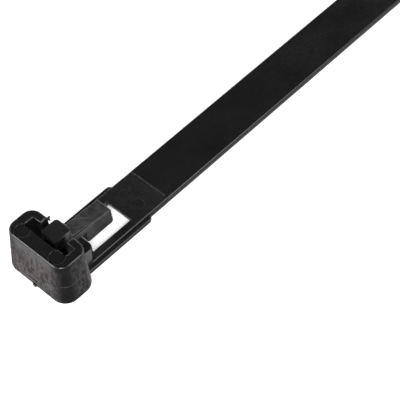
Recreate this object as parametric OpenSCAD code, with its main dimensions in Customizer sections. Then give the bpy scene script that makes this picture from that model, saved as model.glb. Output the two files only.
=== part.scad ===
// Releasable cable tie, moulded in one piece.
// The tie lies flat along X with its smooth outer face up and its teeth underneath.
// The origin is the middle of the strap slot, on the plane that the tie lies on.
// The free end comes up through the slot with its teeth towards +X, where the pawl is.

/* [Strap] */
// Whole length, from the back of the head to the free end
tie_len = 150; // [120:5:300]
// Width of the strap
strap_w = 7.6; // [7:0.1:9]
// Thickness of the strap at its side margins
strap_t = 1.25; // [1.1:0.05:1.5]
// Thickness of the web over the toothed channel
web_t = 0.6; // [0.45:0.05:0.75]
// Width of the toothed channel on the underside
channel_w = 4.9; // [4:0.1:5.6]
// Rounding of the strap's long edges
strap_edge_r = 0.2; // [0.1:0.05:0.3]
// Corner radius of the free end
tip_r = 3; // [1:0.1:3.4]
// Plain length at the free end, without teeth
plain_tip_len = 7; // [4:0.5:15]

/* [Teeth] */
// Distance from one tooth to the next
tooth_pitch = 1.3; // [1:0.05:1.4]
// Height of a tooth above the web
tooth_h = 0.55; // [0.3:0.05:0.6]
// Flat on the tip of a tooth
tooth_land = 0.15; // [0.05:0.05:0.3]
// Plain length of channel between the window and the first tooth
teeth_lead = 6.4; // [2:0.2:15]

/* [Head] */
// Length of the head along the strap, at its base
head_len = 6.4; // [6:0.05:7.5]
// Width of the head across the strap, at its base
head_w = 12.3; // [11:0.1:14]
// Height of the head
head_h = 8; // [6.6:0.1:10]
// Radius of the head's upright corners
head_corner_r = 2.3; // [1.5:0.1:2.8]
// Draft angle of the head's sides
head_draft = 4; // [1:0.5:5]
// Rounding of the head's top edge
head_top_r = 0.3; // [0.1:0.05:0.5]
// Rounding of the head's bottom edge
head_bottom_r = 0.5; // [0.2:0.05:0.8]
// Wall in front of the slot, on the strap's side, at the base
front_wall = 1.8; // [1.4:0.05:2]

/* [Slot] */
// Gap on each side of the strap in the slot
slot_clear = 0.08; // [0.05:0.01:0.2]
// Gap at each edge of the strap in the slot
slot_side_clear = 0.15; // [0.1:0.05:0.3]
// Depth of the relief behind the strap, between the two guide pads
relief_depth = 0.3; // [0.1:0.05:0.5]
// Width of each guide pad
guide_w = 2.25; // [1.5:0.05:2.5]
// Slope that leads the free end into the slot from below
lead_in = 0.5; // [0.2:0.05:0.6]
// Slope at the top of the guide pads
lead_out = 0.45; // [0.2:0.05:0.6]
// Chamfer on the top edges of the slot's ends and of the cut-out for the pawl
rim_chamfer = 0.25; // [0.1:0.05:0.4]

/* [Neck and window] */
// Drop from the head's top to the top of the neck block that joins the strap to the head
neck_drop = 4.1; // [4:0.05:4.6]
// Length of the neck block beyond the head's base
neck_len = 2.45; // [2.2:0.05:4]
// Corner radius of the neck block
neck_corner_r = 1.3; // [0.5:0.1:1.6]
// Draft angle of the neck block
neck_draft = 4; // [1:0.5:5]
// Rounding of the neck block's top edge
neck_top_r = 0.2; // [0.1:0.05:0.4]
// Width of the window under the release lever
window_w = 4.9; // [4:0.1:5.6]
// Length of the window
window_len = 7.7; // [7:0.1:12]
// Distance that each side flange stands out from the strap
flange_out = 0.65; // [0.3:0.05:1]
// Thickness of the side flanges
flange_t = 0.75; // [0.4:0.05:0.9]
// Height of the side flanges' underside
flange_z = 0.2; // [0.1:0.05:0.3]
// Rounding of the flanges' long edges
flange_edge_r = 0.15; // [0.05:0.05:0.2]
// Length of the flanges past the far end of the window
flange_past = 2.7; // [1:0.1:5]

/* [Pawl and release lever] */
// Width of the pawl
pawl_w = 3.05; // [2.4:0.05:3.6]
// Gap at each side of the pawl in the front wall
pawl_side_gap = 0.9; // [0.3:0.05:0.9]
// Thickness of the pawl behind its teeth
pawl_t = 2.6; // [2.2:0.05:2.8]
// Drop from the head's top to the pawl's top
pawl_drop = 0.1; // [0:0.05:0.4]
// Distance that the pawl's teeth reach into the slot, past the front wall
pawl_reach = 1.05; // [0.8:0.05:1.2]
// Number of teeth on the pawl
pawl_teeth = 2; // [1:1:2]
// Gap under the pawl and lever, over the neck block
hinge_gap = 0.45; // [0.3:0.05:0.6]
// Thickness of the living hinge
hinge_t = 0.8; // [0.5:0.05:1]
// Distance from the pawl's back to the living hinge
hinge_back = 0.35; // [0.2:0.05:0.6]
// Width of the release lever
lever_w = 2.65; // [2.2:0.05:3]
// Distance from the neck block to the lever's end
lever_len = 5.5; // [4:0.05:6.5]
// Drop from the head's top to the lever's top where it leaves the pawl
lever_root_drop = 2.25; // [2:0.05:2.5]
// Drop from the head's top to the lever's top at its end
lever_end_drop = 2.9; // [2.6:0.05:3.3]
// Gap between the lever's underside and the strap's top face
lever_lift = 0.75; // [0.5:0.05:1]
// Width of the step along each top edge of the lever, next to the pawl
lever_step_w = 0.25; // [0.1:0.05:0.4]
// Depth of the step
lever_step_depth = 0.35; // [0.1:0.05:0.5]
// Length of the step
lever_step_len = 3; // [1:0.1:4]
// Rounding of the pawl's upright edges on the slot's side
pawl_edge_r = 0.3; // [0.1:0.05:0.6]
// Rounding of the pawl's upright edges on the lever's side
pawl_back_r = 0.55; // [0.1:0.05:0.8]

/* [Small marks] */
// Radius of the two round recesses on the head's top
head_mark_r = 1.15; // [0.6:0.05:1.2]
// Distance from the slot to the middle of the round recesses on the head's top
head_mark_gap = 1.2; // [1:0.05:1.4]
// Depth of the round recesses on the head's top
head_mark_depth = 0.15; // [0.05:0.05:0.4]
// Radius of the two round marks on the strap past the window
strap_mark_r = 1; // [0.5:0.1:1.4]
// Depth of the round marks on the strap
strap_mark_depth = 0.06; // [0.02:0.02:0.1]
// Length of the narrow slit low on the back of the head
slit_len = 1.9; // [1:0.1:3]
// Height of the slit
slit_h = 0.2; // [0.1:0.05:0.3]
// Height of the slit above the plane that the tie lies on
slit_z = 1.35; // [1:0.05:3]
// Distance of the slit's middle from the tie's middle line
slit_y = 0.4; // [0:0.1:1]
// Radius of the gate mark at the bottom of the head's back
gate_r = 0.35; // [0.2:0.05:0.4]
// Height of the gate mark's middle
gate_z = 0.45; // [0.45:0.05:0.8]
// Distance that the gate mark stands out
gate_out = 0.12; // [0.05:0.01:0.2]

/* [Hidden] */
$fn = 48;
// overshoot of a cut past the face that it opens
EPS = 0.5;
// segments in a rounded edge of the mouldings
EDGE_STEPS = 4;
// lean of the strap's sides away from its parting line
STRAP_DRAFT = 6;
// rounding of an edge that a mould leaves nearly sharp
SHARP_R = 0.1;

// places along the strap, counted from the slot's middle
slot_t = strap_t + 2 * slot_clear;
slot_w = strap_w + 2 * slot_side_clear;
head_front_x = slot_t / 2 + front_wall;
head_back_x = head_front_x - head_len;
head_mid_x = (head_front_x + head_back_x) / 2;
tip_x = head_back_x + tie_len;
neck_end_x = head_front_x + neck_len;
window_end_x = neck_end_x + window_len;
flange_end_x = window_end_x + flange_past;
teeth_start_x = window_end_x + teeth_lead;
teeth_end_x = tip_x - plain_tip_len;
channel_depth = strap_t - web_t;
tooth_count = floor((teeth_end_x - teeth_start_x) / tooth_pitch);

// heights and places on the neck block, pawl and lever
neck_h = head_h - neck_drop;
pawl_top = head_h - pawl_drop;
pawl_tip_x = slot_t / 2 - pawl_reach;
pawl_tooth_depth = tooth_h - slot_clear;
pawl_back_x = pawl_tip_x + pawl_tooth_depth + pawl_t;
pawl_bottom = neck_h + hinge_gap;
hinge_x = pawl_back_x + hinge_back;
lever_drop_x = neck_end_x + hinge_gap;
lever_end_x = neck_end_x + lever_len;
lever_bottom = strap_t + lever_lift;
lever_root_h = head_h - lever_root_drop;
lever_end_h = head_h - lever_end_drop;
lever_root_r = 0.7;
lever_nose_r = 0.4;
lever_corner = 0.25;
notch_w = pawl_w + 2 * pawl_side_gap;

// places of the small marks
head_mark_x = -slot_t / 2 - head_mark_gap;
head_mark_y = slot_w / 2 - guide_w / 4;
strap_mark_y = strap_w / 6;

// points on an arc about a centre, from one angle to another
function arc_points(cx, cy, r, from, to, steps) =
    [for (i = [0:steps]) let (a = from + (to - from) * i / steps) [cx + r * cos(a), cy + r * sin(a)]];

// Side of a moulding, from the bottom up, as [distance from the outer line, height].
// The sides lean in by the draft angle above the parting height and, if it is raised, below it.
function side_points(h, part_z, draft, top_r, bottom_r) =
    let (raised = part_z > bottom_r,
         low_a = raised ? -draft : draft,
         low_run = raised ? part_z - bottom_r : bottom_r,
         low_c = -(bottom_r + low_run * sin(draft)) / cos(draft),
         top_c = -(top_r + (h - part_z - top_r) * sin(draft)) / cos(draft))
    concat(arc_points(low_c, bottom_r, bottom_r, -90, low_a, EDGE_STEPS),
           raised ? [[0, part_z]] : [],
           arc_points(top_c, h - top_r, top_r, draft, 90, EDGE_STEPS));

// both sides of a section, as one outline
function section_points(half, side) =
    concat([for (p = side) [half + p[0], p[1]]],
           [for (i = [len(side) - 1:-1:0]) [-half - side[i][0], side[i][1]]]);

// Block with upright rounded corners, drafted sides and rounded top and bottom edges.
// It is centred in plan and stands on the XY plane; length and width are at the parting height.
module moulded_block(length, width, corner_r, side) {
    height = side[len(side) - 1][1];
    inner_x = length / 2 - corner_r;
    inner_y = width / 2 - corner_r;
    union() {
        translate([0, inner_y, 0])
            rotate([90, 0, 0])
                linear_extrude(height = 2 * inner_y)
                    polygon(section_points(length / 2, side));
        translate([-inner_x, 0, 0])
            rotate([90, 0, 90])
                linear_extrude(height = 2 * inner_x)
                    polygon(section_points(width / 2, side));
        for (sx = [-1, 1], sy = [-1, 1])
            translate([sx * inner_x, sy * inner_y, 0])
                rotate_extrude()
                    polygon(concat([[0, 0]], [for (p = side) [corner_r + p[0], p[1]]], [[0, height]]));
    }
}

// profile in the XZ plane, extruded evenly to both sides of the middle
module across(width) {
    translate([0, width / 2, 0])
        rotate([90, 0, 0])
            linear_extrude(height = width)
                children();
}

// strap with its rounded free end; its other end is buried in the head
module strap_blank() {
    back_x = head_back_x + head_corner_r;
    translate([(back_x + tip_x) / 2, 0, 0])
        moulded_block(tip_x - back_x, strap_w, tip_r,
                      side_points(strap_t, strap_t / 2, STRAP_DRAFT, strap_edge_r, strap_edge_r));
}

// side flanges, as one thin plate with rounded ends
module flanges() {
    translate([flange_end_x / 2, 0, flange_z])
        moulded_block(flange_end_x, strap_w + 2 * flange_out, flange_out + strap_edge_r,
                      side_points(flange_t, flange_t / 2, STRAP_DRAFT, flange_edge_r, flange_edge_r));
}

// Channel under the strap with the teeth left standing in it.
// Each tooth has its steep face towards the head and its ramp towards the free end.
module channel_cut() {
    tip_z = channel_depth - tooth_h;
    teeth = [for (i = [0:tooth_count - 1], k = [0:2])
        let (x = teeth_start_x + i * tooth_pitch)
        k == 0 ? [x, channel_depth] : k == 1 ? [x, tip_z] : [x + tooth_land, tip_z]];
    last_x = teeth_start_x + tooth_count * tooth_pitch;
    across(channel_w)
        polygon(concat([[window_end_x - EPS, -EPS], [window_end_x - EPS, channel_depth]],
                       teeth,
                       [[last_x, channel_depth], [last_x, -EPS]]));
}

// opening in the strap under the release lever, started inside the neck block
module window_cut() {
    start_x = neck_end_x - neck_corner_r;
    translate([start_x, -window_w / 2, -EPS])
        cube([window_end_x - start_x, window_w, strap_t + 2 * EPS]);
}

// solid block between the strap and the head's front
module neck() {
    back_x = head_back_x + head_corner_r;
    translate([(back_x + neck_end_x) / 2, 0, 0])
        moulded_block(neck_end_x - back_x, strap_w, neck_corner_r,
                      side_points(neck_h, 0, neck_draft, neck_top_r, SHARP_R));
}

// head block with the cut-out in its front wall that the pawl stands in
module head_block() {
    difference() {
        translate([head_mid_x, 0, 0])
            moulded_block(head_len, head_w, head_corner_r,
                          side_points(head_h, 0, head_draft, head_top_r, head_bottom_r));
        translate([0, -notch_w / 2, neck_h - EPS])
            cube([head_front_x + EPS, notch_w, head_h]);
    }
}

// passage for the free end, wider at its mouth and relieved behind the strap
module slot_cut() {
    half = slot_t / 2;
    relief_w = slot_w - 2 * guide_w;
    translate([-half, -slot_w / 2, -EPS])
        cube([slot_t, slot_w, head_h + 2 * EPS]);
    translate([-half - relief_depth, -relief_w / 2, -EPS])
        cube([relief_depth + half, relief_w, head_h + 2 * EPS]);
    intersection() {
        across(head_w)
            polygon([[-half - lead_in - EPS, -EPS], [half + lead_in + EPS, -EPS], [half, lead_in], [-half, lead_in]]);
        translate([-head_len, 0, 0])
            rotate([90, 0, 90])
                linear_extrude(height = 2 * head_len)
                    polygon([[-slot_w / 2 - lead_in - EPS, -EPS], [slot_w / 2 + lead_in + EPS, -EPS],
                             [slot_w / 2, lead_in], [-slot_w / 2, lead_in]]);
    }
    across(slot_w)
        polygon([[-half, head_h - lead_out], [0, head_h - lead_out], [0, head_h + EPS],
                 [-half - lead_out - EPS, head_h + EPS]]);
    chamfered_rim(-half, half, slot_w);
    chamfered_rim(half, head_front_x + EPS, notch_w);
}

// chamfer on both top edges, at the sides, of an opening in the head's top
module chamfered_rim(from_x, to_x, width) {
    flare = width / 2 + rim_chamfer + EPS;
    translate([from_x, 0, 0])
        rotate([90, 0, 90])
            linear_extrude(height = to_x - from_x)
                polygon([[-width / 2, head_h - rim_chamfer], [width / 2, head_h - rim_chamfer],
                         [flare, head_h + EPS], [-flare, head_h + EPS]]);
}

// Pawl seen from the side. Its teeth have flat tops, which hold the strap's steep faces,
// and sloped undersides, over which the strap slides on its way up.
function pawl_points() =
    let (root_x = pawl_tip_x + pawl_tooth_depth,
         teeth_top = pawl_bottom + pawl_teeth * tooth_pitch)
    concat([[pawl_back_x, pawl_bottom], [pawl_back_x, pawl_top], [pawl_tip_x, pawl_top],
            [pawl_tip_x, teeth_top + pawl_tooth_depth]],
           [for (i = [0:pawl_teeth - 1], k = [0:1])
               let (z = teeth_top - i * tooth_pitch)
               [k == 0 ? root_x : pawl_tip_x, z]],
           [[root_x, pawl_bottom]]);

// Lever seen from the side: level underside over the neck, then a deeper handle over the window
function lever_points() =
    concat([[pawl_back_x - EPS, pawl_bottom], [lever_drop_x, pawl_bottom],
            [lever_drop_x, lever_bottom + lever_corner], [lever_drop_x + lever_corner, lever_bottom]],
           arc_points(lever_end_x - lever_nose_r, lever_bottom + lever_nose_r, lever_nose_r, -90, 0, EDGE_STEPS),
           arc_points(lever_end_x - 2 * lever_corner, lever_end_h - lever_corner, lever_corner, 0, 90, EDGE_STEPS),
           [[pawl_back_x + lever_root_r, lever_root_h]],
           arc_points(pawl_back_x + lever_root_r, lever_root_h + lever_root_r, lever_root_r, 270, 180, EDGE_STEPS),
           [[pawl_back_x - EPS, lever_root_h + lever_root_r]]);

// outline of the pawl from above, with its edges rounded more on the lever's side
module pawl_outline() {
    half_w = pawl_w / 2;
    translate([pawl_tip_x, pawl_edge_r - half_w])
        square([pawl_back_x - pawl_tip_x - pawl_back_r, pawl_w - 2 * pawl_edge_r]);
    translate([pawl_tip_x + pawl_edge_r, -half_w])
        square([pawl_back_x - pawl_tip_x - pawl_edge_r - pawl_back_r, pawl_w]);
    translate([pawl_back_x - pawl_back_r - EPS, pawl_back_r - half_w])
        square([pawl_back_r + EPS, pawl_w - 2 * pawl_back_r]);
    for (s = [-1, 1]) {
        translate([pawl_tip_x + pawl_edge_r, s * (half_w - pawl_edge_r)])
            circle(r = pawl_edge_r);
        translate([pawl_back_x - pawl_back_r, s * (half_w - pawl_back_r)])
            circle(r = pawl_back_r);
    }
}

// pawl, cut to its outline from the side and from above
module pawl() {
    intersection() {
        across(pawl_w)
            polygon(pawl_points());
        linear_extrude(height = head_h)
            pawl_outline();
    }
}

// release lever, stepped along its top edges next to the pawl
module lever() {
    difference() {
        across(lever_w)
            polygon(lever_points());
        for (s = [-1, 1])
            translate([pawl_back_x, s * lever_w / 2 - lever_step_w, lever_root_h - lever_step_depth])
                cube([lever_step_len, 2 * lever_step_w, lever_root_r + lever_step_depth + EPS]);
    }
}

// pawl and release lever, held by a thin living hinge on the neck block
module pawl_and_lever() {
    pawl();
    lever();
    translate([hinge_x, -lever_w / 2, neck_h - EPS])
        cube([hinge_t, lever_w, hinge_gap + 2 * EPS]);
}

// round moulding marks and the slit low on the back of the head
module small_marks() {
    for (s = [-1, 1]) {
        translate([head_mark_x, s * head_mark_y, head_h - head_mark_depth])
            cylinder(r = head_mark_r, h = EPS);
        translate([flange_end_x, s * strap_mark_y, strap_t - strap_mark_depth])
            cylinder(r = strap_mark_r, h = EPS);
    }
    translate([head_back_x - EPS, slit_y - slit_len / 2, slit_z])
        cube([2 * EPS, slit_len, slit_h]);
}

// stub left where the mould was filled, low on the back of the head
module gate_mark() {
    translate([head_back_x - gate_out, 0, gate_z])
        rotate([0, 90, 0])
            cylinder(r = gate_r, h = gate_out + head_bottom_r);
}

module cable_tie() {
    color([0.03, 0.03, 0.032])
        union() {
            difference() {
                union() {
                    difference() {
                        union() {
                            strap_blank();
                            flanges();
                        }
                        window_cut();
                        channel_cut();
                    }
                    neck();
                    head_block();
                }
                slot_cut();
                small_marks();
            }
            pawl_and_lever();
            gate_mark();
        }
}

cable_tie();
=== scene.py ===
"""Looks of a releasable cable tie, laid out as a Blender add-on and run as a script.

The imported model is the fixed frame. The moulding is a merged copy of its one node with rounded edges,
and the fine marks that moulding leaves behind are small surfaces of their own.
Lengths are metres, and the tie lies along X with its head at the origin.
"""
import math

import bmesh
import bpy
import numpy as np
from bpy.props import FloatProperty, FloatVectorProperty, IntProperty, PointerProperty
from mathutils import Matrix, Vector


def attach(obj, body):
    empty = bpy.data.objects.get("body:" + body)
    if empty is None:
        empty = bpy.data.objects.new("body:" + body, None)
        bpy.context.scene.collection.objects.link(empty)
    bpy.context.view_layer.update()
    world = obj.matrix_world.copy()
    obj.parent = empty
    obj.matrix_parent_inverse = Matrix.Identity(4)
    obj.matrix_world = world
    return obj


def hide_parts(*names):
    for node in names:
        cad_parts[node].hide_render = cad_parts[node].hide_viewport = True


bl_info = {
    "name": "Releasable cable tie",
    "version": (1, 0, 0),
    "blender": (4, 5, 0),
    "location": "3D View > Sidebar > Cable tie",
    "description": "Finishes a packed cable tie in moulded black nylon on a pale studio floor",
    "category": "Object",
}

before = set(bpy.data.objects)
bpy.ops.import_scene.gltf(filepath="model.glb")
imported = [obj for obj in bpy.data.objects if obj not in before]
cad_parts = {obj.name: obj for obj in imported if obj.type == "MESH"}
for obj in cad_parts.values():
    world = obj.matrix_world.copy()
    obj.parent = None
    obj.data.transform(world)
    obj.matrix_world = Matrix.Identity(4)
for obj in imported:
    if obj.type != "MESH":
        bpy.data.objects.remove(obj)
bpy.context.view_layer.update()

MM = 0.001
NODE = "cable_tie"
BODY = "root"

# two faces meet at an edge above the first angle, and are one flat face below the second
EDGE_ANGLE = math.radians(30)
FLAT_ANGLE = math.radians(0.2)
# corners that lie this close are joined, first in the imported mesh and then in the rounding
MERGE_DISTANCE = 0.002 * MM
JOIN_DISTANCE = 0.0005 * MM


def node_points():
    """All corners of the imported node, as one array of places in metres."""
    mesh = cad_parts[NODE].data
    places = np.zeros(len(mesh.vertices) * 3, np.float32)
    mesh.vertices.foreach_get("co", places)
    return places.reshape(-1, 3).astype(float)


def measure():
    """Places on the tie that the marks are set from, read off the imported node."""
    points = node_points()
    low, high = points.min(0), points.max(0)
    strap = points[points[:, 0] > high[0] - 0.1 * (high[0] - low[0])]
    return {
        "strap_top": strap[:, 2].max(),
        "half_strap": strap[:, 1].max(),
        "head_top": high[2],
        "tip": high[0],
    }


PLACES = measure()
# far ends of the flanges and of the window between them
FLANGE_END = 15.355 * MM
WINDOW_END = FLANGE_END - 2.7 * MM
# lines across the strap: between two parts of the mould, and near the free end
WITNESS_X = FLANGE_END + 3.7 * MM
TIP_LINE_X = PLACES["tip"] - 9 * MM
# the long faces of the strap are parted here, so that no face runs from the round marks to the tip
STRAP_CUTS = np.linspace(FLANGE_END + 1.5 * MM, PLACES["tip"] - 8 * MM, 8)

# round marks as x, y, radius, the height that their rims lie above, and the share of the rounding on them
ROUND_MARKS = (
    (-1.905 * MM, 3.39 * MM, 1.15 * MM, PLACES["head_top"] - 0.3 * MM, 0.5),
    (FLANGE_END, 1.267 * MM, 1.0 * MM, PLACES["strap_top"] - 0.1 * MM, 0.25),
)
RIM_REACH = 0.1 * MM
# edges of the slit on the head's back: behind this place, under this height, with this share
SLIT_BACK = -3.2 * MM
SLIT_TOP = 2.5 * MM
SLIT_SHARE = 0.3
# edges of the strap's teeth: past this place, under this height, with this share
TEETH_START = FLANGE_END + 3 * MM
TEETH_TOP = PLACES["strap_top"] - 0.3 * MM
TOOTH_SHARE = 0.4
# edges with no rounding, as a span along x and a reach to both sides: the pawl's face, above this height,
# and the slot's back edge
PAWL_FACE = (-0.6 * MM, 0.5 * MM)
PAWL_REACH = 1.6 * MM
PAWL_BOTTOM = 4.2 * MM
SLOT_EDGE = (-1.2 * MM, -0.6 * MM)
SLOT_REACH = 3.9 * MM

# outline of the head's sides: middle, half length, half width and corner radius at its foot, and its draft
HEAD_MID_X = -0.695 * MM
HEAD_HALF_LENGTH = 3.2 * MM
HEAD_HALF_WIDTH = 6.15 * MM
HEAD_CORNER = 2.3 * MM
HEAD_DRAFT = math.radians(4)
# faces of the head's outer sides: further out than these places, within the front and above the foot
SIDE_BACK = -2.6 * MM
SIDE_END = 4.4 * MM
SIDE_FRONT = 2.6 * MM
SIDE_FOOT = 0.3 * MM
# upright faces of the strap and flanges: past this place, further out than this, and under this height
STRAP_START = 4.5 * MM
STRAP_SIDE = 3.5 * MM
STRAP_TOP = 1.4 * MM
# wall at the window's far end: this near to it, with this reach to both sides, and under this height
WALL_NEAR = 0.3 * MM
WALL_REACH = 2.5 * MM
WALL_TOP = 1.3 * MM

# spans that the finish changes over, each as its start and end
# pawl and lever: sides and tip of the pawl, clear height above the strap, start of the lever, and end of
# the painted sheen on it, a paler grey
PAWL_SIDE = (1.55 * MM, 1.65 * MM)
PAWL_TIP = (-0.45 * MM, -0.35 * MM)
ABOVE_STRAP = (1.6 * MM, 2.2 * MM)
LEVER_START = (2.6 * MM, 3.2 * MM)
LEVER_SHEEN = (5.5 * MM, 8.0 * MM)
# duller part of the strap, from the window to the witness line
DULL_START = (11 * MM, 12 * MM)
DULL_END = (WITNESS_X - 0.05 * MM, WITNESS_X)
# head's sides: band under the top edge, the two ends up to the front corners, the back corners and the
# painted dark band on these, and the back; the ends and the back corners get painted shade
TOP_BAND = (5.6 * MM, 7.4 * MM)
END_START = (3.2 * MM, 5.4 * MM)
END_FRONT = (0.6 * MM, 1.9 * MM)
BACK_CORNER = (-1.0 * MM, -2.6 * MM)
CORNER_SHADE_BAND = (6.95 * MM, 7.2 * MM)
HEAD_BACK = (-3.0 * MM, -2.8 * MM)
# slit on the head's back: its middle across and up, the length and height of the painted highlight round
# it, and the length of the painted shade along its edge, which gets lower across this span from the first
# height to the second
SLIT_MID = (0.4 * MM, 1.45 * MM)
HIGHLIGHT_LENGTH = (1.1 * MM, 1.8 * MM)
HIGHLIGHT_HEIGHT = (0.5 * MM, 1.0 * MM)
SLIT_SHADE_LENGTH = (1.0 * MM, 1.05 * MM)
SLIT_SHADE_TAPER = (-0.6 * MM, 1.4 * MM)
SLIT_SHADE_HEIGHTS = (0.24 * MM, 0.14 * MM)
SLIT_SHADE_BLUR = (-0.02 * MM, 0.02 * MM)

# lever's top at both its ends, as x and z
LEVER_ROOT = (3.425 * MM, 5.75 * MM)
LEVER_END = (9.955 * MM, 5.1 * MM)
# creases on the lever's top: start and end as x and y, bend, and size as a multiple of the fine lines
CREASES = {
    "lever_crease": ((4.0 * MM, 1.12 * MM), (7.0 * MM, -0.35 * MM), 2.2, 2.0),
    "lever_fold": ((3.8 * MM, 1.0 * MM), (6.0 * MM, -0.86 * MM), 0.3, 1.4),
}
# parting lines round the head's ends: height, turns that they start, run straight and stop at, and size
PARTING_Z = 3.9 * MM
PARTING_TURNS = (math.radians(205), math.radians(270), math.radians(350))
PARTING_SIZE = 0.9
# torn flake of flash on the cut-out beside the pawl, as x and y in millimetres
FLAKE = ((1.3, 2.5), (2.32, 2.5), (2.27, 2.2), (2.12, 2.26),
         (2.0, 1.98), (1.86, 1.76), (1.76, 2.02), (1.55, 2.3))
FLAKE_TOP = PLACES["head_top"] - 0.03 * MM
FLAKE_THICKNESS = 0.05 * MM
FLAKE_DROOP = 0.3 * MM

NYLON_IOR = 1.53
# sockets of a colour mix node: its share, its two colours and its result
MIX_SHARE, MIX_FIRST, MIX_SECOND, MIX_RESULT = 0, 6, 7, 2
# indices of the moulding's materials
POLISHED, EDGES, SATIN, DULL, WALL = range(5)

# round floor that bends up into a backdrop: radius, bend and height of the wall
FLOOR_RADIUS = 1.6
FLOOR_BEND = 0.5
BACKDROP_HEIGHT = 1.3
# lamps look at this place from this distance
LAMP_AIM = (10 * MM, 0, 0)
LAMP_DISTANCE = 0.7
# lamps as azimuth and elevation in degrees, width and height, and power in watts
LAMPS = {
    "left_softbox": (-118, 33, (0.35, 0.5), 3.5),
    "right_softbox": (33, 40, (0.2, 0.7), 1.9),
    "front_softbox": (-46, 40, (0.25, 0.09), 3.3),
}
# light from all round
AMBIENT_COLOUR = (0.95, 0.97, 1.0, 1)
AMBIENT_STRENGTH = 0.085
# camera's sensor width in millimetres, and the distances that it sees from and to
SENSOR_WIDTH = 36
SEEN_FROM, SEEN_TO = 0.01, 20


class TieFinishSettings(bpy.types.PropertyGroup):
    """Colours and finish of the nylon."""

    dark: FloatVectorProperty(
        name="Nylon", description="Colour of the clean moulded skin",
        subtype="COLOR", size=3, min=0, max=1, default=(0.0058, 0.0056, 0.006))
    pale: FloatVectorProperty(
        name="Haze", description="Colour of the greyer clouds and scuffs in the skin",
        subtype="COLOR", size=3, min=0, max=1, default=(0.034, 0.031, 0.031))
    # the mottling colour also paints the pale highlight round the slit on the head's back
    bloom: FloatVectorProperty(
        name="Mottling", description="Colour of the worn blotches on the head's sides",
        subtype="COLOR", size=3, min=0, max=1, default=(0.125, 0.101, 0.097))
    smooth: FloatProperty(
        name="Smooth roughness", description="Roughness of the polished faces",
        subtype="FACTOR", min=0, max=1, default=0.2)
    satin: FloatProperty(
        name="Satin roughness", description="Roughness of the spark-worn sides of the head",
        subtype="FACTOR", min=0, max=1, default=0.55)
    edge_round: FloatProperty(
        name="Edge rounding", description="Full width of the small rounding on the outer edges",
        subtype="DISTANCE", unit="LENGTH", min=0, default=0.12 * MM)
    edge_steps: IntProperty(
        name="Edge steps", description="Faces across each rounding", min=1, max=6, default=3)


class TieMarkSettings(bpy.types.PropertyGroup):
    """Sizes of the marks that the mould leaves on the nylon."""

    line_height: FloatProperty(
        name="Line height", description="Height of the fine witness lines",
        subtype="DISTANCE", unit="LENGTH", min=0, default=0.025 * MM)
    line_width: FloatProperty(
        name="Line width", description="Width of the fine witness lines",
        subtype="DISTANCE", unit="LENGTH", min=0, default=0.11 * MM)


class TieStageSettings(bpy.types.PropertyGroup):
    """Camera, lamps and floor."""

    azimuth: FloatProperty(
        name="Azimuth", description="Direction that the camera looks from, round the Z axis",
        subtype="ANGLE", unit="ROTATION", default=math.radians(-45.9))
    elevation: FloatProperty(
        name="Elevation", description="Height of the camera above the horizon",
        subtype="ANGLE", unit="ROTATION", default=math.radians(52.0))
    roll: FloatProperty(
        name="Roll", description="Turn of the camera about its own axis",
        subtype="ANGLE", unit="ROTATION", default=math.radians(-2.0))
    distance: FloatProperty(
        name="Distance", description="Distance from the camera to the point that it looks at",
        subtype="DISTANCE", unit="LENGTH", default=208.6 * MM)
    aim: FloatVectorProperty(
        name="Aim", description="Point on the floor that the camera looks at",
        subtype="XYZ", unit="LENGTH", size=3, default=(22.5 * MM, -6.8 * MM, 0))
    lens: FloatProperty(
        name="Lens", description="Focal length on a 36 mm wide sensor, in millimetres",
        min=10, default=129.7)
    floor: FloatVectorProperty(
        name="Floor", description="Colour of the floor and backdrop",
        subtype="COLOR", size=3, min=0, max=1, default=(0.86, 0.86, 0.86))


def linked(tree, kind, **sockets):
    """A node of that kind, with its inputs set to values or linked to other sockets."""
    node = tree.nodes.new(kind)
    for name, value in sockets.items():
        socket = node.inputs[name.replace("_", " ")]
        if isinstance(value, bpy.types.NodeSocket):
            tree.links.new(value, socket)
        else:
            socket.default_value = value
    return node


def maths(tree, operation, a, b=0.0, clamp=False):
    """One math node; a and b are numbers or sockets."""
    node = tree.nodes.new("ShaderNodeMath")
    node.operation = operation
    node.use_clamp = clamp
    for socket, value in zip(node.inputs, (a, b)):
        if isinstance(value, bpy.types.NodeSocket):
            tree.links.new(value, socket)
        else:
            socket.default_value = value
    return node.outputs[0]


def remap(tree, value, from_low, from_high, to_low, to_high):
    """A clamped map of one range onto another."""
    node = linked(tree, "ShaderNodeMapRange", Value=value)
    node.clamp = True
    for name, number in (("From Min", from_low), ("From Max", from_high),
                         ("To Min", to_low), ("To Max", to_high)):
        if isinstance(number, bpy.types.NodeSocket):
            tree.links.new(number, node.inputs[name])
        else:
            node.inputs[name].default_value = number
    return node.outputs["Result"]


def rising(tree, value, span):
    """A mask that goes from 0 to 1 over a span, given as its start and end."""
    return remap(tree, value, *span, 0.0, 1.0)


def falling(tree, value, span):
    """A mask that goes from 1 to 0 over a span, given as its start and end."""
    return remap(tree, value, *span, 1.0, 0.0)


def noise(tree, vector, scale, detail, roughness=0.55):
    """A noise pattern's value, at that many features a metre."""
    node = linked(tree, "ShaderNodeTexNoise", Vector=vector, Scale=scale, Detail=detail,
                  Roughness=roughness)
    return node.outputs["Fac"]


def new_group(name, inputs, outputs):
    """An empty shader node group with float or vector inputs and float outputs."""
    tree = bpy.data.node_groups.new(name, "ShaderNodeTree")
    for label, kind, value in inputs:
        socket = tree.interface.new_socket(label, in_out="INPUT", socket_type=kind)
        if value is not None:
            socket.default_value = value
    for label in outputs:
        tree.interface.new_socket(label, in_out="OUTPUT", socket_type="NodeSocketFloat")
    return tree, tree.nodes.new("NodeGroupInput"), tree.nodes.new("NodeGroupOutput")


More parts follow.
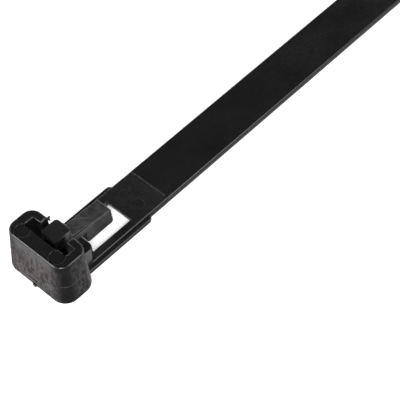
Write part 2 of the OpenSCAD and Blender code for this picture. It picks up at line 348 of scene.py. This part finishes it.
def moulded_skin_group():
    """Skin of moulded nylon: slow flow clouds, blotches and a fine grain, from three noises."""
    tree, given, out = new_group(
        "Moulded skin",
        [("Vector", "NodeSocketVector", None),
         ("Cloud Scale", "NodeSocketFloat", 160.0),
         ("Blotch Scale", "NodeSocketFloat", 1300.0),
         ("Grain Scale", "NodeSocketFloat", 9000.0)],
        ["Cloud", "Blotch", "Grain"])
    vector = given.outputs["Vector"]
    for label, detail in (("Cloud", 3.0), ("Blotch", 4.0), ("Grain", 2.0)):
        value = noise(tree, vector, given.outputs[label + " Scale"], detail)
        tree.links.new(rising(tree, value, (0.3, 0.7)), out.inputs[label])
    return tree


def scuff_group():
    """Scuffs: long thin streaks, from noise stretched along one axis, broken up by a wider noise."""
    tree, given, out = new_group(
        "Scuffs",
        [("Vector", "NodeSocketVector", None), ("Amount", "NodeSocketFloat", 0.5)],
        ["Mask"])
    turned = linked(tree, "ShaderNodeMapping", Vector=given.outputs["Vector"],
                    Rotation=(0.5, 0.35, 0.6), Scale=(500.0, 6000.0, 6000.0))
    streaks = noise(tree, turned.outputs["Vector"], 1.0, 2.0)
    patches = noise(tree, given.outputs["Vector"], 420.0, 2.0)
    limit = maths(tree, "SUBTRACT", 0.78, maths(tree, "MULTIPLY", given.outputs["Amount"], 0.2))
    mask = rising(tree, streaks, (limit, maths(tree, "ADD", limit, 0.08)))
    broken = maths(tree, "MULTIPLY", mask, rising(tree, patches, (0.45, 0.6)))
    tree.links.new(broken, out.inputs["Mask"])
    return tree


def drawn_group():
    """Draw marks of the mould: fine upright streaks, from noise stretched along the Z axis."""
    tree, given, out = new_group(
        "Draw marks",
        [("Vector", "NodeSocketVector", None), ("Scale", "NodeSocketFloat", 3200.0)],
        ["Streak"])
    squeezed = linked(tree, "ShaderNodeMapping", Vector=given.outputs["Vector"], Scale=(1.0, 1.0, 0.16))
    streaks = noise(tree, squeezed.outputs["Vector"], given.outputs["Scale"], 3.0, 0.6)
    tree.links.new(rising(tree, streaks, (0.32, 0.68)), out.inputs["Streak"])
    return tree


def shared_group(name, maker):
    """The node group of that name, made the first time that it is asked for."""
    return bpy.data.node_groups.get(name) or maker()


def placed_group(tree, group, vector):
    """A group placed in a material, fed with the pattern's coordinates."""
    node = tree.nodes.new("ShaderNodeGroup")
    node.node_tree = group
    tree.links.new(vector, node.inputs["Vector"])
    return node


def weighted(tree, *terms):
    """The sum of sockets, each times its own number."""
    total = None
    for value, share in terms:
        term = maths(tree, "MULTIPLY", value, share)
        total = term if total is None else maths(tree, "ADD", total, term)
    return total


def product(tree, first, *others):
    """The product of sockets and numbers."""
    for value in others:
        first = maths(tree, "MULTIPLY", first, value)
    return first


def axes(tree, vector):
    """The three parts of a vector, as sockets."""
    split = linked(tree, "ShaderNodeSeparateXYZ", Vector=vector)
    return split.outputs["X"], split.outputs["Y"], split.outputs["Z"]


def coloured(tree, share, dark, pale):
    """A mix of two colours."""
    node = tree.nodes.new("ShaderNodeMix")
    node.data_type = "RGBA"
    node.clamp_factor = True
    tree.links.new(share, node.inputs[MIX_SHARE])
    node.inputs[MIX_FIRST].default_value = (*dark, 1)
    node.inputs[MIX_SECOND].default_value = (*pale, 1)
    return node.outputs[MIX_RESULT]


def bumped(tree, shader, height, distance):
    """Bumps of that height in a shader's normals, which leave the shape as it is."""
    bump = linked(tree, "ShaderNodeBump", Height=height, Strength=1.0, Distance=distance)
    tree.links.new(bump.outputs["Normal"], shader.inputs["Normal"])


def nylon_start(name):
    """A new material with its shader, object coordinates and the moulded skin's patterns."""
    material = bpy.data.materials.new(name)
    material.use_nodes = True
    tree = material.node_tree
    shader = tree.nodes["Principled BSDF"]
    shader.inputs["IOR"].default_value = NYLON_IOR
    coordinates = tree.nodes.new("ShaderNodeTexCoord").outputs["Object"]
    skin = placed_group(tree, shared_group("Moulded skin", moulded_skin_group), coordinates)
    return material, tree, shader, coordinates, skin


def polished_nylon(name, settings, roughness, paleness, gloss=0.5):
    """Black nylon off a polished mould: faint clouds, a few scuffs and a slightly uneven gloss.

    The lever is a paler grey, most of all near the pawl: painted sheen, which stands in for the light that
    it reflects. The strap is duller between the window and the witness line than past it.
    """
    material, tree, shader, coordinates, skin = nylon_start(name)
    shader.inputs["Specular IOR Level"].default_value = gloss
    scuffs = placed_group(tree, shared_group("Scuffs", scuff_group), coordinates)
    scuffs.inputs["Amount"].default_value = 0.4
    x, y, z = axes(tree, coordinates)
    pawl = product(tree, falling(tree, maths(tree, "ABSOLUTE", y), PAWL_SIDE), rising(tree, x, PAWL_TIP),
                   rising(tree, z, ABOVE_STRAP))
    lever = product(tree, pawl, rising(tree, x, LEVER_START))
    # painted sheen: a paler grey on the lever, most near the pawl; the blotches also roughen and bump it
    near = product(tree, lever, falling(tree, x, LEVER_SHEEN))
    worn = product(tree, lever, rising(tree, skin.outputs["Blotch"], (0.2, 0.8)))
    beyond = rising(tree, x, DULL_END)
    insert = maths(tree, "SUBTRACT", rising(tree, x, DULL_START), beyond)
    share = weighted(tree, (skin.outputs["Cloud"], 0.12 * paleness),
                     (skin.outputs["Blotch"], 0.06 * paleness),
                     (scuffs.outputs["Mask"], 0.12), (worn, 0.7), (near, 0.4))
    tree.links.new(coloured(tree, share, settings.dark, settings.pale), shader.inputs["Base Color"])
    uneven = weighted(tree, (skin.outputs["Cloud"], 0.06), (skin.outputs["Blotch"], 0.05),
                      (scuffs.outputs["Mask"], 0.14), (pawl, 0.09), (lever, 0.02), (worn, 0.06),
                      (near, 0.05), (insert, 0.08), (beyond, -0.07))
    tree.links.new(maths(tree, "ADD", uneven, roughness - 0.05), shader.inputs["Roughness"])
    height = weighted(tree, (skin.outputs["Cloud"], 1.2), (skin.outputs["Blotch"], 0.5), (worn, 2.0),
                      (skin.outputs["Grain"], 0.1), (scuffs.outputs["Mask"], -0.3))
    bumped(tree, shader, height, 0.003 * MM)
    return material


def slit_masks(tree, x, y, z):
    """Masks of the painted highlight round the slit on the head's back, and of the painted shade along its
    edge.
    """
    along = maths(tree, "ABSOLUTE", maths(tree, "SUBTRACT", y, SLIT_MID[0]))
    above = maths(tree, "ABSOLUTE", maths(tree, "SUBTRACT", z, SLIT_MID[1]))
    back = falling(tree, x, HEAD_BACK)
    pale_highlight = product(tree, remap(tree, along, *HIGHLIGHT_LENGTH, 0.7, 0.0), falling(tree, above, HIGHLIGHT_HEIGHT),
                    back)
    past = maths(tree, "SUBTRACT", above, remap(tree, y, *SLIT_SHADE_TAPER, *SLIT_SHADE_HEIGHTS))
    slit_shade = product(tree, falling(tree, along, SLIT_SHADE_LENGTH), falling(tree, past, SLIT_SHADE_BLUR), back)
    return pale_highlight, slit_shade


def satin_nylon(name, settings):
    """Black nylon off a worn mould, on the head's sides: mottled, with upright draw marks.

    The sheen is a coat whose weight varies: full in a band under the top edge, broken below it,
    weak at the two ends and at the corners of the back, and gone along the slit's edge. There the sheen and
    the mottling are cut as painted shade, darkest in a painted dark band under the top edge at the back
    corners.
    """
    material, tree, shader, coordinates, skin = nylon_start(name)
    shader.inputs["Specular IOR Level"].default_value = 0.05
    shader.inputs["Coat Roughness"].default_value = settings.satin
    shader.inputs["Coat IOR"].default_value = NYLON_IOR
    skin.inputs["Blotch Scale"].default_value = 1700
    drawn = placed_group(tree, shared_group("Draw marks", drawn_group), coordinates)
    x, y, z = axes(tree, coordinates)
    high = rising(tree, z, TOP_BAND)
    aside = rising(tree, maths(tree, "ABSOLUTE", y), END_START)
    # painted shade: masks that darken the two ends, the back corners and a band under their top edge
    end = product(tree, aside, falling(tree, x, END_FRONT))
    corner = product(tree, aside, rising(tree, x, BACK_CORNER))
    under = product(tree, corner, rising(tree, z, CORNER_SHADE_BAND))
    pale_highlight, slit_shade = slit_masks(tree, x, y, z)
    off_slit_shade = maths(tree, "SUBTRACT", 1.0, slit_shade)
    # share of the mottling and the sheen that is left where the painted shade falls, at the ends and the
    # corners
    unshaded = maths(tree, "SUBTRACT", 1.0, weighted(tree, (end, 0.6), (corner, 0.5), (under, 0.5)), clamp=True)

    even = remap(tree, maths(tree, "SUBTRACT", high, aside), 0.0, 1.0, 1.0, 0.3)
    mottle = weighted(tree, (skin.outputs["Blotch"], 0.5), (drawn.outputs["Streak"], 0.3),
                      (skin.outputs["Cloud"], 0.2))
    broken = remap(tree, mottle, remap(tree, aside, 0.0, 1.0, 0.26, 0.34),
                   remap(tree, aside, 0.0, 1.0, 0.76, 0.66), 0.05, 1.0)
    # the pale area round the slit is a painted highlight; along the slit's edge, painted shade takes the
    # mottling away
    bloom = product(tree, maths(tree, "MAXIMUM", product(tree, broken, even), pale_highlight), off_slit_shade)
    share = product(tree, unshaded, 0.55, bloom)
    tree.links.new(coloured(tree, share, settings.dark, settings.bloom), shader.inputs["Base Color"])
    sheen = weighted(tree, (bloom, 0.58), (maths(tree, "SUBTRACT", high, aside, clamp=True), 0.6))
    sheen = product(tree, maths(tree, "ADD", sheen, 0.1), unshaded, off_slit_shade)
    tree.links.new(sheen, shader.inputs["Coat Weight"])
    rough = weighted(tree, (mottle, 0.26), (high, -0.2))
    tree.links.new(maths(tree, "ADD", rough, settings.satin - 0.05, clamp=True), shader.inputs["Roughness"])
    height = weighted(tree, (skin.outputs["Blotch"], 1.0), (drawn.outputs["Streak"], 0.7),
                      (skin.outputs["Grain"], 0.25))
    bumped(tree, shader, height, 0.02 * MM)
    return material


def is_head_side(face, centre):
    """Whether a face is on the outer sides of the head: its back, its two ends and their corners."""
    steep = abs(face.normal.z) < 0.3
    outer = centre.x < SIDE_BACK or abs(centre.y) > SIDE_END
    outward = face.normal.x * (centre.x - HEAD_MID_X) + face.normal.y * centre.y > 0
    return steep and outer and outward and centre.x < SIDE_FRONT and centre.z > SIDE_FOOT


def is_strap_side(face, centre):
    """Whether a face is an upright side of the strap or of its flanges."""
    across = abs(face.normal.y) > 0.95
    return across and abs(centre.y) > STRAP_SIDE and centre.x > STRAP_START and centre.z < STRAP_TOP


def is_window_end(face, centre):
    """Whether a face is the wall at the far end of the window."""
    faces_back = face.normal.x < -0.9
    near = abs(centre.x - WINDOW_END) < WALL_NEAR
    return faces_back and near and abs(centre.y) < WALL_REACH and centre.z < WALL_TOP


def finish_of(face):
    """Index of the material that a face of the moulding gets."""
    centre = face.calc_center_median()
    if is_head_side(face, centre):
        return SATIN
    if is_window_end(face, centre):
        return WALL
    return DULL if is_strap_side(face, centre) else POLISHED


def edge_share(middle):
    """Share of the full rounding that an edge with this middle gets.

    It is less on the slit, the round marks and the teeth, and none on the pawl's face and the slot's
    back edge.
    """
    if middle.x < SLIT_BACK and middle.z < SLIT_TOP:
        return SLIT_SHARE
    for x, y, radius, low, share in ROUND_MARKS:
        out = math.hypot(middle.x - x, abs(middle.y) - y)
        if middle.z > low and abs(out - radius) < RIM_REACH:
            return share
    if middle.x > TEETH_START and middle.z < TEETH_TOP:
        return TOOTH_SHARE
    aside = abs(middle.y)
    on_pawl = PAWL_FACE[0] < middle.x < PAWL_FACE[1] and aside < PAWL_REACH and middle.z > PAWL_BOTTOM
    on_slot = SLOT_EDGE[0] < middle.x < SLOT_EDGE[1] and aside < SLOT_REACH
    return 0.0 if on_pawl or on_slot else 1.0


def placed(name, data):
    """A new object with that mesh, lamp or camera, in the scene."""
    item = bpy.data.objects.new(name, data)
    bpy.context.scene.collection.objects.link(item)
    return item


def merged_copy(name):
    """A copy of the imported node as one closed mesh, with its flat faces joined up."""
    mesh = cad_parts[NODE].data.copy()
    mesh.name = name
    mesh.materials.clear()
    work = bmesh.new()
    work.from_mesh(mesh)
    bmesh.ops.remove_doubles(work, verts=work.verts, dist=MERGE_DISTANCE)
    for x in STRAP_CUTS:
        cut = bmesh.ops.bisect_plane(work, geom=work.verts[:] + work.edges[:] + work.faces[:],
                                     dist=MERGE_DISTANCE, plane_co=(x, 0, 0), plane_no=(1, 0, 0))
        for item in cut["geom_cut"]:
            if isinstance(item, bmesh.types.BMEdge):
                item.seam = True
    bmesh.ops.dissolve_limit(work, angle_limit=FLAT_ANGLE, verts=work.verts, edges=work.edges,
                             use_dissolve_boundaries=False, delimit={"SEAM"})
    weight = work.edges.layers.float.new("bevel_weight_edge")
    for edge in work.edges:
        convex = len(edge.link_faces) == 2 and edge.calc_face_angle_signed(0.0) > EDGE_ANGLE
        middle = (edge.verts[0].co + edge.verts[1].co) / 2
        edge[weight] = edge_share(middle) if convex else 0.0
        edge.smooth = len(edge.link_faces) == 2 and edge.calc_face_angle(0.0) < EDGE_ANGLE
    for face in work.faces:
        face.smooth = True
        face.material_index = finish_of(face)
    work.to_mesh(mesh)
    work.free()
    return placed(name, mesh)


class OBJECT_OT_tie_moulding(bpy.types.Operator):
    """Make the moulding: head, pawl, lever, neck, rails and toothed strap with rounded edges"""

    bl_idname = "object.tie_moulding"
    bl_label = "Moulding"

    def execute(self, context):
        settings = context.scene.tie_finish
        piece = merged_copy("moulding")
        for material in (
                polished_nylon("black_nylon", settings, roughness=settings.smooth, paleness=1.0),
                # a paler grey on the rounded edges, painted as a highlight along them
                polished_nylon("nylon_edges", settings, roughness=0.24, paleness=3.0),
                satin_nylon("satin_nylon", settings),
                polished_nylon("dull_nylon", settings, roughness=0.36, paleness=2.0, gloss=0.08),
                # a pale grey wall at the window's end: painted light, so that it shows as a lit strip
                polished_nylon("wall_nylon", settings, roughness=0.14, paleness=12.0, gloss=1.0)):
            piece.data.materials.append(material)
        rounding = piece.modifiers.new("Edge rounding", "BEVEL")
        rounding.limit_method = "WEIGHT"
        rounding.width = settings.edge_round
        rounding.segments = settings.edge_steps
        rounding.use_clamp_overlap = False
        rounding.material = EDGES
        joined = piece.modifiers.new("Joined corners", "WELD")
        joined.merge_threshold = JOIN_DISTANCE
        shading = piece.modifiers.new("Even shading", "WEIGHTED_NORMAL")
        shading.keep_sharp = True
        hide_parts(NODE)
        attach(piece, BODY)
        return {"FINISHED"}


def ridge(name, path, up, width, height, sides=8):
    """A fine raised line: a half-round profile carried along a path, with its foot sunk in.

    Each point is path + across * (width / 2) cos a + up * height sin a, with a from 0 to a half turn,
    and the two points of the foot lie 0.8 of the height below the path. Width and height above the path
    taper to a twentieth over the first and last tenth of it.
    """
    path = np.asarray(path, float)
    up = np.broadcast_to(np.asarray(up, float), path.shape)
    along = np.gradient(path, axis=0)
    along /= np.linalg.norm(along, axis=1)[:, None]
    across = np.cross(along, up)
    share = np.linspace(0, 1, len(path))
    taper = np.clip(np.minimum(share, 1 - share) * 10, 0.05, 1)
    angle = np.linspace(0, math.pi, sides)
    wide = width / 2 * np.cos(angle)[None, :, None] * taper[:, None, None]
    rise = height * np.sin(angle)[None, :, None] * taper[:, None, None]
    top = path[:, None] + across[:, None] * wide + up[:, None] * rise
    ends = width / 2 * np.array([-1.0, 1.0])[None, :, None] * taper[:, None, None]
    foot = path[:, None] - up[:, None] * height * 0.8 + across[:, None] * ends
    return closed_tube(name, np.concatenate([top, foot], axis=1))


def closed_tube(name, rings):
    """A closed mesh through rings of points: quads between neighbours, and one flat face at each end."""
    count, around = rings.shape[:2]
    i, j = np.meshgrid(np.arange(count - 1), np.arange(around), indexing="ij")
    nxt = (j + 1) % around
    quads = np.stack([i * around + j, i * around + nxt, (i + 1) * around + nxt, (i + 1) * around + j], -1)
    faces = quads.reshape(-1, 4).tolist()
    faces.append(list(range(around)))
    faces.append([(count - 1) * around + k for k in range(around)])
    mesh = bpy.data.meshes.new(name)
    mesh.from_pydata(rings.reshape(-1, 3).tolist(), [], faces)
    work = bmesh.new()
    work.from_mesh(mesh)
    bmesh.ops.recalc_face_normals(work, faces=work.faces)
    for face in work.faces:
        face.smooth = len(face.verts) == 4
    work.to_mesh(mesh)
    work.free()
    return placed(name, mesh)


def across_strap(x, margin=0.25 * MM, steps=41):
    """A straight path across the strap's top face, up to a margin at each side."""
    reach = PLACES["half_strap"] - margin
    y = np.linspace(-reach, reach, steps)
    return np.stack([np.full_like(y, x), y, np.full_like(y, PLACES["strap_top"])], 1)


def round_head(z, side, steps=14):
    """A level path round one end of the head, with its outward directions.

    It runs round the back corner, straight along the end and round the front corner.
    The outline is a rounded rectangle, drawn in by z times the tangent of the draft.
    """
    start, straight, stop = PARTING_TURNS
    inset = z * math.tan(HEAD_DRAFT)
    radius = HEAD_CORNER - inset
    centre_x = HEAD_HALF_LENGTH - HEAD_CORNER
    centre_y = HEAD_HALF_WIDTH - HEAD_CORNER
    back = np.linspace(start, straight, steps)
    front = np.linspace(straight, stop, steps)
    angle = np.concatenate([back, np.full(steps, straight), front])
    middle = np.concatenate([np.full(steps, -centre_x), np.linspace(-centre_x, centre_x, steps + 2)[1:-1],
                             np.full(steps, centre_x)])
    outward = np.stack([np.cos(angle), np.sin(angle) * side, np.zeros_like(angle)], 1)
    x = HEAD_MID_X + middle + radius * np.cos(angle)
    y = side * (radius * np.sin(angle) - centre_y)
    return np.stack([x, y, np.full_like(x, z)], 1), outward


def lever_crease(start, end, bend, steps=24):
    """A bent crease on the lever's top, from one place to another, given as x and y.

    With t from 0 to 1, x grows evenly and y goes from its start to its end with t to the power of the bend.
    """
    t = np.linspace(0, 1, steps)
    x = start[0] + (end[0] - start[0]) * t
    y = start[1] + (end[1] - start[1]) * t ** bend
    slope = (LEVER_END[1] - LEVER_ROOT[1]) / (LEVER_END[0] - LEVER_ROOT[0])
    z = LEVER_ROOT[1] + (x - LEVER_ROOT[0]) * slope
    return np.stack([x, y, z], 1)


def flake(name, outline, top, thickness, droop):
    """A thin torn flake of flash, from an outline given as x and y in millimetres.

    It hangs lower by droop times the square of the distance in millimetres, which is counted across the
    tie from the outline's first point.
    """
    outline = np.asarray(outline) * MM
    fall = droop * ((outline[:, 1] - outline[0, 1]) / MM) ** 2
    rings = np.stack([np.column_stack([outline, top - fall - thickness * k]) for k in (0, 1)])
    return closed_tube(name, rings)


class OBJECT_OT_tie_marks(bpy.types.Operator):
    """Make the fine marks: lines of the mould on strap and head, creases on the lever, a flake of flash"""

    bl_idname = "object.tie_marks"
    bl_label = "Mould marks"

    def execute(self, context):
        marks = context.scene.tie_marks
        flash = polished_nylon("nylon_flash", context.scene.tie_finish, roughness=0.32, paleness=6.0)
        up = (0, 0, 1)
        lines = [("witness_line", across_strap(WITNESS_X), up, 1.0),
                 ("tip_line", across_strap(TIP_LINE_X), up, 1.0)]
        for name, (start, end, bend, size) in CREASES.items():
            lines.append((name, lever_crease(start, end, bend), up, size))
        for name, side in (("parting_line_right", 1), ("parting_line_left", -1)):
            path, outward = round_head(PARTING_Z, side)
            lines.append((name, path, outward, PARTING_SIZE))
        pieces = [ridge(name, path, rise, marks.line_width * size, marks.line_height * size)
                  for name, path, rise, size in lines]
        pieces.append(flake("flash_flake", FLAKE, FLAKE_TOP, FLAKE_THICKNESS, FLAKE_DROOP))
        for piece in pieces:
            piece.data.materials.append(flash)
            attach(piece, BODY)
        return {"FINISHED"}


def stage_material(name, colour, lift):
    """Matt white. Camera, mirror and glass rays get a little light added, so that it shows as white."""
    material = bpy.data.materials.new(name)
    material.use_nodes = True
    tree = material.node_tree
    shader = tree.nodes["Principled BSDF"]
    shader.inputs["Base Color"].default_value = (*colour, 1)
    shader.inputs["Roughness"].default_value = 0.9
    shader.inputs["Specular IOR Level"].default_value = 0.1
    path = tree.nodes.new("ShaderNodeLightPath")
    seen = maths(tree, "MAXIMUM", path.outputs["Is Camera Ray"],
                 maths(tree, "MAXIMUM", path.outputs["Is Glossy Ray"], path.outputs["Is Transmission Ray"]))
    shader.inputs["Emission Color"].default_value = (1, 1, 1, 1)
    tree.links.new(maths(tree, "MULTIPLY", seen, lift), shader.inputs["Emission Strength"])
    return material


def turned_surface(name, out, up, steps_round=96):
    """A profile, given by its distances out and its heights, turned about the Z axis."""
    angle = np.arange(steps_round) * 2 * math.pi / steps_round
    ring = np.stack([out[:, None] * np.cos(angle), out[:, None] * np.sin(angle),
                     np.repeat(up[:, None], steps_round, 1)], -1)
    i, j = np.meshgrid(np.arange(len(out) - 1), np.arange(steps_round), indexing="ij")
    nxt = (j + 1) % steps_round
    quads = np.stack([i * steps_round + j, (i + 1) * steps_round + j,
                      (i + 1) * steps_round + nxt, i * steps_round + nxt], -1)
    mesh = bpy.data.meshes.new(name)
    mesh.from_pydata(ring.reshape(-1, 3).tolist(), [], quads.reshape(-1, 4).tolist())
    mesh.shade_smooth()
    return placed(name, mesh)


def camera_axes(azimuth, elevation, roll):
    """Right, up and back directions of a camera or lamp that looks from that side."""
    back = Vector((math.sin(azimuth) * math.cos(elevation),
                   -math.cos(azimuth) * math.cos(elevation), math.sin(elevation)))
    level = Vector((math.cos(azimuth), math.sin(azimuth), 0))
    upright = back.cross(level)
    right = math.cos(roll) * level + math.sin(roll) * upright
    up = -math.sin(roll) * level + math.cos(roll) * upright
    return right, up, back


def looking(name, data, aim, distance, azimuth, elevation, roll=0.0):
    """A lamp or camera that looks at the aim from that distance and side."""
    right, up, back = camera_axes(azimuth, elevation, roll)
    item = placed(name, data)
    item.matrix_world = Matrix((right, up, back)).transposed().to_4x4()
    item.location = Vector(aim) + back * distance
    return item


def softbox(name, azimuth, elevation, size, power):
    """A rectangular area lamp that looks at the lamps' aim from that azimuth and elevation, in degrees."""
    lamp = bpy.data.lights.new(name, "AREA")
    lamp.shape = "RECTANGLE"
    lamp.size, lamp.size_y = size
    lamp.energy = power
    holder = looking(name, lamp, LAMP_AIM, LAMP_DISTANCE, math.radians(azimuth), math.radians(elevation))
    holder.visible_camera = False


class OBJECT_OT_tie_stage(bpy.types.Operator):
    """Make the pale floor, the soft lamps and the camera"""

    bl_idname = "object.tie_stage"
    bl_label = "Stage"

    def execute(self, context):
        scene = context.scene
        stage = scene.tie_stage
        flat = FLOOR_RADIUS - FLOOR_BEND
        turn = np.linspace(0, math.pi / 2, 16)
        rings = np.linspace(0.1 * MM, flat, 30)
        floor = turned_surface("floor", rings, np.zeros_like(rings))
        floor.data.materials.append(stage_material("pale_floor", stage.floor, 0.55))
        backdrop = turned_surface(
            "backdrop",
            np.concatenate([flat + FLOOR_BEND * np.sin(turn), [FLOOR_RADIUS]]),
            np.concatenate([FLOOR_BEND - FLOOR_BEND * np.cos(turn), [BACKDROP_HEIGHT]]))
        backdrop.data.materials.append(stage_material("pale_backdrop", stage.floor, 0.85))

        world = bpy.data.worlds.new("studio")
        world.use_nodes = True
        background = world.node_tree.nodes["Background"]
        background.inputs["Color"].default_value = AMBIENT_COLOUR
        background.inputs["Strength"].default_value = AMBIENT_STRENGTH
        scene.world = world
        for name, lamp in LAMPS.items():
            softbox(name, *lamp)

        camera = bpy.data.cameras.new("camera")
        camera.sensor_width = SENSOR_WIDTH
        camera.lens = stage.lens
        camera.clip_start = SEEN_FROM
        camera.clip_end = SEEN_TO
        scene.camera = looking("camera", camera, stage.aim, stage.distance,
                               stage.azimuth, stage.elevation, stage.roll)
        scene.view_settings.view_transform = "Standard"
        return {"FINISHED"}


class VIEW3D_PT_cable_tie(bpy.types.Panel):
    """Sidebar panel that lists the settings and the steps"""

    bl_label = "Cable tie"
    bl_space_type = "VIEW_3D"
    bl_region_type = "UI"
    bl_category = "Cable tie"

    def draw(self, context):
        scene = context.scene
        for settings, label in ((scene.tie_finish, "Finish"), (scene.tie_marks, "Marks"),
                                (scene.tie_stage, "Stage")):
            box = self.layout.box()
            box.label(text=label)
            for name in settings.bl_rna.properties.keys():
                if name not in ("rna_type", "name"):
                    box.prop(settings, name)
        for step in STEPS:
            self.layout.operator(step.bl_idname)


SETTINGS = {
    "tie_finish": TieFinishSettings,
    "tie_marks": TieMarkSettings,
    "tie_stage": TieStageSettings,
}
STEPS = (OBJECT_OT_tie_stage, OBJECT_OT_tie_moulding, OBJECT_OT_tie_marks)
CLASSES = (*SETTINGS.values(), *STEPS, VIEW3D_PT_cable_tie)


def register():
    for item in CLASSES:
        bpy.utils.register_class(item)
    for name, settings in SETTINGS.items():
        setattr(bpy.types.Scene, name, PointerProperty(type=settings))


def unregister():
    for name in SETTINGS:
        delattr(bpy.types.Scene, name)
    for item in reversed(CLASSES):
        bpy.utils.unregister_class(item)


def main():
    """Make everything in order."""
    register()
    bpy.ops.object.tie_stage()
    bpy.ops.object.tie_moulding()
    bpy.ops.object.tie_marks()


if __name__ == "__main__":
    main()
